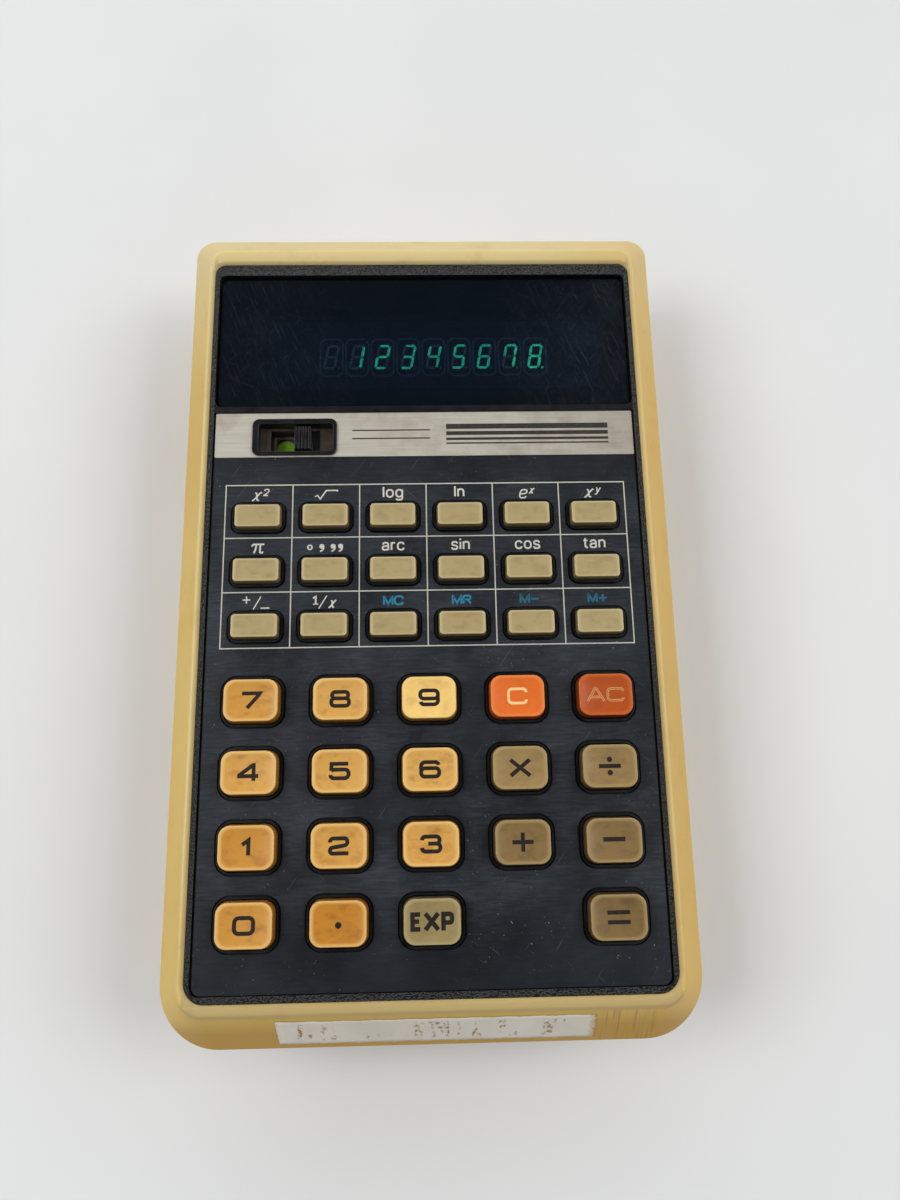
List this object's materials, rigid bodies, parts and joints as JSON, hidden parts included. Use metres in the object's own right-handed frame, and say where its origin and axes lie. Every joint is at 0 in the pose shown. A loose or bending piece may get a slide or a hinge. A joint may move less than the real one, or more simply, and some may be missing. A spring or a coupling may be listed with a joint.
{
  "type": "pocket calculator",
  "caption": "Pocket scientific calculator in a two-shell case with a smoked display window, rows of sprung keys, a slide switch and a sliding battery cover.",
  "frame": {"origin": "middle of the back, at the plane the case lies on", "axes": "+Y towards the display end, +X to the right of a person reading the keys, +Z out of the key face"},
  "size_m": [0.0834, 0.1382, 0.0264],
  "materials": {
    "case_cream": "satin, worn, with scratches and small dark specks",
    "bezel_black": "fine leather grain",
    "panel_blue_black": "satin, finely brushed",
    "brushed_metal": "brushed along its length, aged warm",
    "window_smoke": "clear glossy smoke-blue",
    "tube_glass": "clear",
    "anode_plate": "matt, with lit teal segments",
    "board_brown": "matt paper laminate",
    "board_green": "satin lacquer",
    "mat_rubber": "matt",
    "chip_black": "moulded",
    "coil_brown": "lacquered winding",
    "cell_jacket": "printed steel jacket",
    "contact_metal": "nickel plated",
    "screw_steel": "zinc plated",
    "label_paper": "worn and smudged",
    "key_amber": "semi gloss, mottled",
    "key_ochre": "semi gloss, mottled",
    "key_sand": "semi gloss, mottled",
    "key_orange": "semi gloss",
    "key_red": "semi gloss"
  },
  "bodies": {
    "case": {"upper_case": "case_cream", "lower_case": "case_cream", "bezel_frame": "bezel_black", "key_panel": "panel_blue_black", "trim_band": "brushed_metal", "display_window": "window_smoke", "display_tube": "tube_glass", "display_anodes": "anode_plate", "display_supports": "board_brown", "switch_surround": "bezel_black", "switch_base": "board_brown", "main_board": "board_green", "key_board": "board_brown", "contact_mat": "mat_rubber", "logic_chips": "chip_black", "converter_parts": "coil_brown", "aa_cells": "cell_jacket", "battery_contacts": "contact_metal", "case_screws": "screw_steel", "dc_jack": "bezel_black", "adhesive_labels": "label_paper"},
    "battery_cover": {"battery_door": "case_cream"},
    "power_slider": {"power_slider": "bezel_black"},
    "key_7": {"key_7": "key_amber"},
    "key_8": {"key_8": "key_amber"},
    "key_9": {"key_9": "key_amber"},
    "key_clear": {"key_clear": "key_orange"},
    "key_all_clear": {"key_all_clear": "key_red"},
    "key_4": {"key_4": "key_amber"},
    "key_5": {"key_5": "key_amber"},
    "key_6": {"key_6": "key_amber"},
    "key_multiply": {"key_multiply": "key_ochre"},
    "key_divide": {"key_divide": "key_ochre"},
    "key_1": {"key_1": "key_amber"},
    "key_2": {"key_2": "key_amber"},
    "key_3": {"key_3": "key_amber"},
    "key_plus": {"key_plus": "key_ochre"},
    "key_minus": {"key_minus": "key_ochre"},
    "key_0": {"key_0": "key_amber"},
    "key_point": {"key_point": "key_amber"},
    "key_exponent": {"key_exponent": "key_sand"},
    "key_equals": {"key_equals": "key_ochre"},
    "key_square": {"key_square": "key_sand"},
    "key_root": {"key_root": "key_sand"},
    "key_log": {"key_log": "key_sand"},
    "key_ln": {"key_ln": "key_sand"},
    "key_exp_e": {"key_exp_e": "key_sand"},
    "key_power": {"key_power": "key_sand"},
    "key_pi": {"key_pi": "key_sand"},
    "key_degrees": {"key_degrees": "key_sand"},
    "key_arc": {"key_arc": "key_sand"},
    "key_sin": {"key_sin": "key_sand"},
    "key_cos": {"key_cos": "key_sand"},
    "key_tan": {"key_tan": "key_sand"},
    "key_sign": {"key_sign": "key_sand"},
    "key_reciprocal": {"key_reciprocal": "key_sand"},
    "key_memory_clear": {"key_memory_clear": "key_sand"},
    "key_memory_recall": {"key_memory_recall": "key_sand"},
    "key_memory_minus": {"key_memory_minus": "key_sand"},
    "key_memory_plus": {"key_memory_plus": "key_sand"}
  },
  "joints": [
    {"name": "power_switch_slide", "type": "slide", "parent": "case", "child": "power_slider", "axis": [1, 0, 0], "range_m": [-0.0041, 0]},
    {"name": "battery_cover_slide", "type": "slide", "parent": "case", "child": "battery_cover", "axis": [0, -1, 0], "range_m": [0, 0.04]},
    {"name": "key_7_press", "type": "slide", "parent": "case", "child": "key_7", "axis": [0, 0, -1], "range_m": [0, 0.0012], "stiffness_N_per_m": 500, "springref_m": -0.0002, "deforming": ["contact_mat"]},
    {"name": "key_8_press", "type": "slide", "parent": "case", "child": "key_8", "axis": [0, 0, -1], "range_m": [0, 0.0012], "stiffness_N_per_m": 500, "springref_m": -0.0002, "deforming": ["contact_mat"]},
    {"name": "key_9_press", "type": "slide", "parent": "case", "child": "key_9", "axis": [0, 0, -1], "range_m": [0, 0.0012], "stiffness_N_per_m": 500, "springref_m": -0.0002, "deforming": ["contact_mat"]},
    {"name": "key_clear_press", "type": "slide", "parent": "case", "child": "key_clear", "axis": [0, 0, -1], "range_m": [0, 0.0012], "stiffness_N_per_m": 500, "springref_m": -0.0002, "deforming": ["contact_mat"]},
    {"name": "key_all_clear_press", "type": "slide", "parent": "case", "child": "key_all_clear", "axis": [0, 0, -1], "range_m": [0, 0.0012], "stiffness_N_per_m": 500, "springref_m": -0.0002, "deforming": ["contact_mat"]},
    {"name": "key_4_press", "type": "slide", "parent": "case", "child": "key_4", "axis": [0, 0, -1], "range_m": [0, 0.0012], "stiffness_N_per_m": 500, "springref_m": -0.0002, "deforming": ["contact_mat"]},
    {"name": "key_5_press", "type": "slide", "parent": "case", "child": "key_5", "axis": [0, 0, -1], "range_m": [0, 0.0012], "stiffness_N_per_m": 500, "springref_m": -0.0002, "deforming": ["contact_mat"]},
    {"name": "key_6_press", "type": "slide", "parent": "case", "child": "key_6", "axis": [0, 0, -1], "range_m": [0, 0.0012], "stiffness_N_per_m": 500, "springref_m": -0.0002, "deforming": ["contact_mat"]},
    {"name": "key_multiply_press", "type": "slide", "parent": "case", "child": "key_multiply", "axis": [0, 0, -1], "range_m": [0, 0.0012], "stiffness_N_per_m": 500, "springref_m": -0.0002, "deforming": ["contact_mat"]},
    {"name": "key_divide_press", "type": "slide", "parent": "case", "child": "key_divide", "axis": [0, 0, -1], "range_m": [0, 0.0012], "stiffness_N_per_m": 500, "springref_m": -0.0002, "deforming": ["contact_mat"]},
    {"name": "key_1_press", "type": "slide", "parent": "case", "child": "key_1", "axis": [0, 0, -1], "range_m": [0, 0.0012], "stiffness_N_per_m": 500, "springref_m": -0.0002, "deforming": ["contact_mat"]},
    {"name": "key_2_press", "type": "slide", "parent": "case", "child": "key_2", "axis": [0, 0, -1], "range_m": [0, 0.0012], "stiffness_N_per_m": 500, "springref_m": -0.0002, "deforming": ["contact_mat"]},
    {"name": "key_3_press", "type": "slide", "parent": "case", "child": "key_3", "axis": [0, 0, -1], "range_m": [0, 0.0012], "stiffness_N_per_m": 500, "springref_m": -0.0002, "deforming": ["contact_mat"]},
    {"name": "key_plus_press", "type": "slide", "parent": "case", "child": "key_plus", "axis": [0, 0, -1], "range_m": [0, 0.0012], "stiffness_N_per_m": 500, "springref_m": -0.0002, "deforming": ["contact_mat"]},
    {"name": "key_minus_press", "type": "slide", "parent": "case", "child": "key_minus", "axis": [0, 0, -1], "range_m": [0, 0.0012], "stiffness_N_per_m": 500, "springref_m": -0.0002, "deforming": ["contact_mat"]},
    {"name": "key_0_press", "type": "slide", "parent": "case", "child": "key_0", "axis": [0, 0, -1], "range_m": [0, 0.0012], "stiffness_N_per_m": 500, "springref_m": -0.0002, "deforming": ["contact_mat"]},
    {"name": "key_point_press", "type": "slide", "parent": "case", "child": "key_point", "axis": [0, 0, -1], "range_m": [0, 0.0012], "stiffness_N_per_m": 500, "springref_m": -0.0002, "deforming": ["contact_mat"]},
    {"name": "key_exponent_press", "type": "slide", "parent": "case", "child": "key_exponent", "axis": [0, 0, -1], "range_m": [0, 0.0012], "stiffness_N_per_m": 500, "springref_m": -0.0002, "deforming": ["contact_mat"]},
    {"name": "key_equals_press", "type": "slide", "parent": "case", "child": "key_equals", "axis": [0, 0, -1], "range_m": [0, 0.0012], "stiffness_N_per_m": 500, "springref_m": -0.0002, "deforming": ["contact_mat"]},
    {"name": "key_square_press", "type": "slide", "parent": "case", "child": "key_square", "axis": [0, 0, -1], "range_m": [0, 0.0012], "stiffness_N_per_m": 500, "springref_m": -0.0002, "deforming": ["contact_mat"]},
    {"name": "key_root_press", "type": "slide", "parent": "case", "child": "key_root", "axis": [0, 0, -1], "range_m": [0, 0.0012], "stiffness_N_per_m": 500, "springref_m": -0.0002, "deforming": ["contact_mat"]},
    {"name": "key_log_press", "type": "slide", "parent": "case", "child": "key_log", "axis": [0, 0, -1], "range_m": [0, 0.0012], "stiffness_N_per_m": 500, "springref_m": -0.0002, "deforming": ["contact_mat"]},
    {"name": "key_ln_press", "type": "slide", "parent": "case", "child": "key_ln", "axis": [0, 0, -1], "range_m": [0, 0.0012], "stiffness_N_per_m": 500, "springref_m": -0.0002, "deforming": ["contact_mat"]},
    {"name": "key_exp_e_press", "type": "slide", "parent": "case", "child": "key_exp_e", "axis": [0, 0, -1], "range_m": [0, 0.0012], "stiffness_N_per_m": 500, "springref_m": -0.0002, "deforming": ["contact_mat"]},
    {"name": "key_power_press", "type": "slide", "parent": "case", "child": "key_power", "axis": [0, 0, -1], "range_m": [0, 0.0012], "stiffness_N_per_m": 500, "springref_m": -0.0002, "deforming": ["contact_mat"]},
    {"name": "key_pi_press", "type": "slide", "parent": "case", "child": "key_pi", "axis": [0, 0, -1], "range_m": [0, 0.0012], "stiffness_N_per_m": 500, "springref_m": -0.0002, "deforming": ["contact_mat"]},
    {"name": "key_degrees_press", "type": "slide", "parent": "case", "child": "key_degrees", "axis": [0, 0, -1], "range_m": [0, 0.0012], "stiffness_N_per_m": 500, "springref_m": -0.0002, "deforming": ["contact_mat"]},
    {"name": "key_arc_press", "type": "slide", "parent": "case", "child": "key_arc", "axis": [0, 0, -1], "range_m": [0, 0.0012], "stiffness_N_per_m": 500, "springref_m": -0.0002, "deforming": ["contact_mat"]},
    {"name": "key_sin_press", "type": "slide", "parent": "case", "child": "key_sin", "axis": [0, 0, -1], "range_m": [0, 0.0012], "stiffness_N_per_m": 500, "springref_m": -0.0002, "deforming": ["contact_mat"]},
    {"name": "key_cos_press", "type": "slide", "parent": "case", "child": "key_cos", "axis": [0, 0, -1], "range_m": [0, 0.0012], "stiffness_N_per_m": 500, "springref_m": -0.0002, "deforming": ["contact_mat"]},
    {"name": "key_tan_press", "type": "slide", "parent": "case", "child": "key_tan", "axis": [0, 0, -1], "range_m": [0, 0.0012], "stiffness_N_per_m": 500, "springref_m": -0.0002, "deforming": ["contact_mat"]},
    {"name": "key_sign_press", "type": "slide", "parent": "case", "child": "key_sign", "axis": [0, 0, -1], "range_m": [0, 0.0012], "stiffness_N_per_m": 500, "springref_m": -0.0002, "deforming": ["contact_mat"]},
    {"name": "key_reciprocal_press", "type": "slide", "parent": "case", "child": "key_reciprocal", "axis": [0, 0, -1], "range_m": [0, 0.0012], "stiffness_N_per_m": 500, "springref_m": -0.0002, "deforming": ["contact_mat"]},
    {"name": "key_memory_clear_press", "type": "slide", "parent": "case", "child": "key_memory_clear", "axis": [0, 0, -1], "range_m": [0, 0.0012], "stiffness_N_per_m": 500, "springref_m": -0.0002, "deforming": ["contact_mat"]},
    {"name": "key_memory_recall_press", "type": "slide", "parent": "case", "child": "key_memory_recall", "axis": [0, 0, -1], "range_m": [0, 0.0012], "stiffness_N_per_m": 500, "springref_m": -0.0002, "deforming": ["contact_mat"]},
    {"name": "key_memory_minus_press", "type": "slide", "parent": "case", "child": "key_memory_minus", "axis": [0, 0, -1], "range_m": [0, 0.0012], "stiffness_N_per_m": 500, "springref_m": -0.0002, "deforming": ["contact_mat"]},
    {"name": "key_memory_plus_press", "type": "slide", "parent": "case", "child": "key_memory_plus", "axis": [0, 0, -1], "range_m": [0, 0.0012], "stiffness_N_per_m": 500, "springref_m": -0.0002, "deforming": ["contact_mat"]}
  ]
}
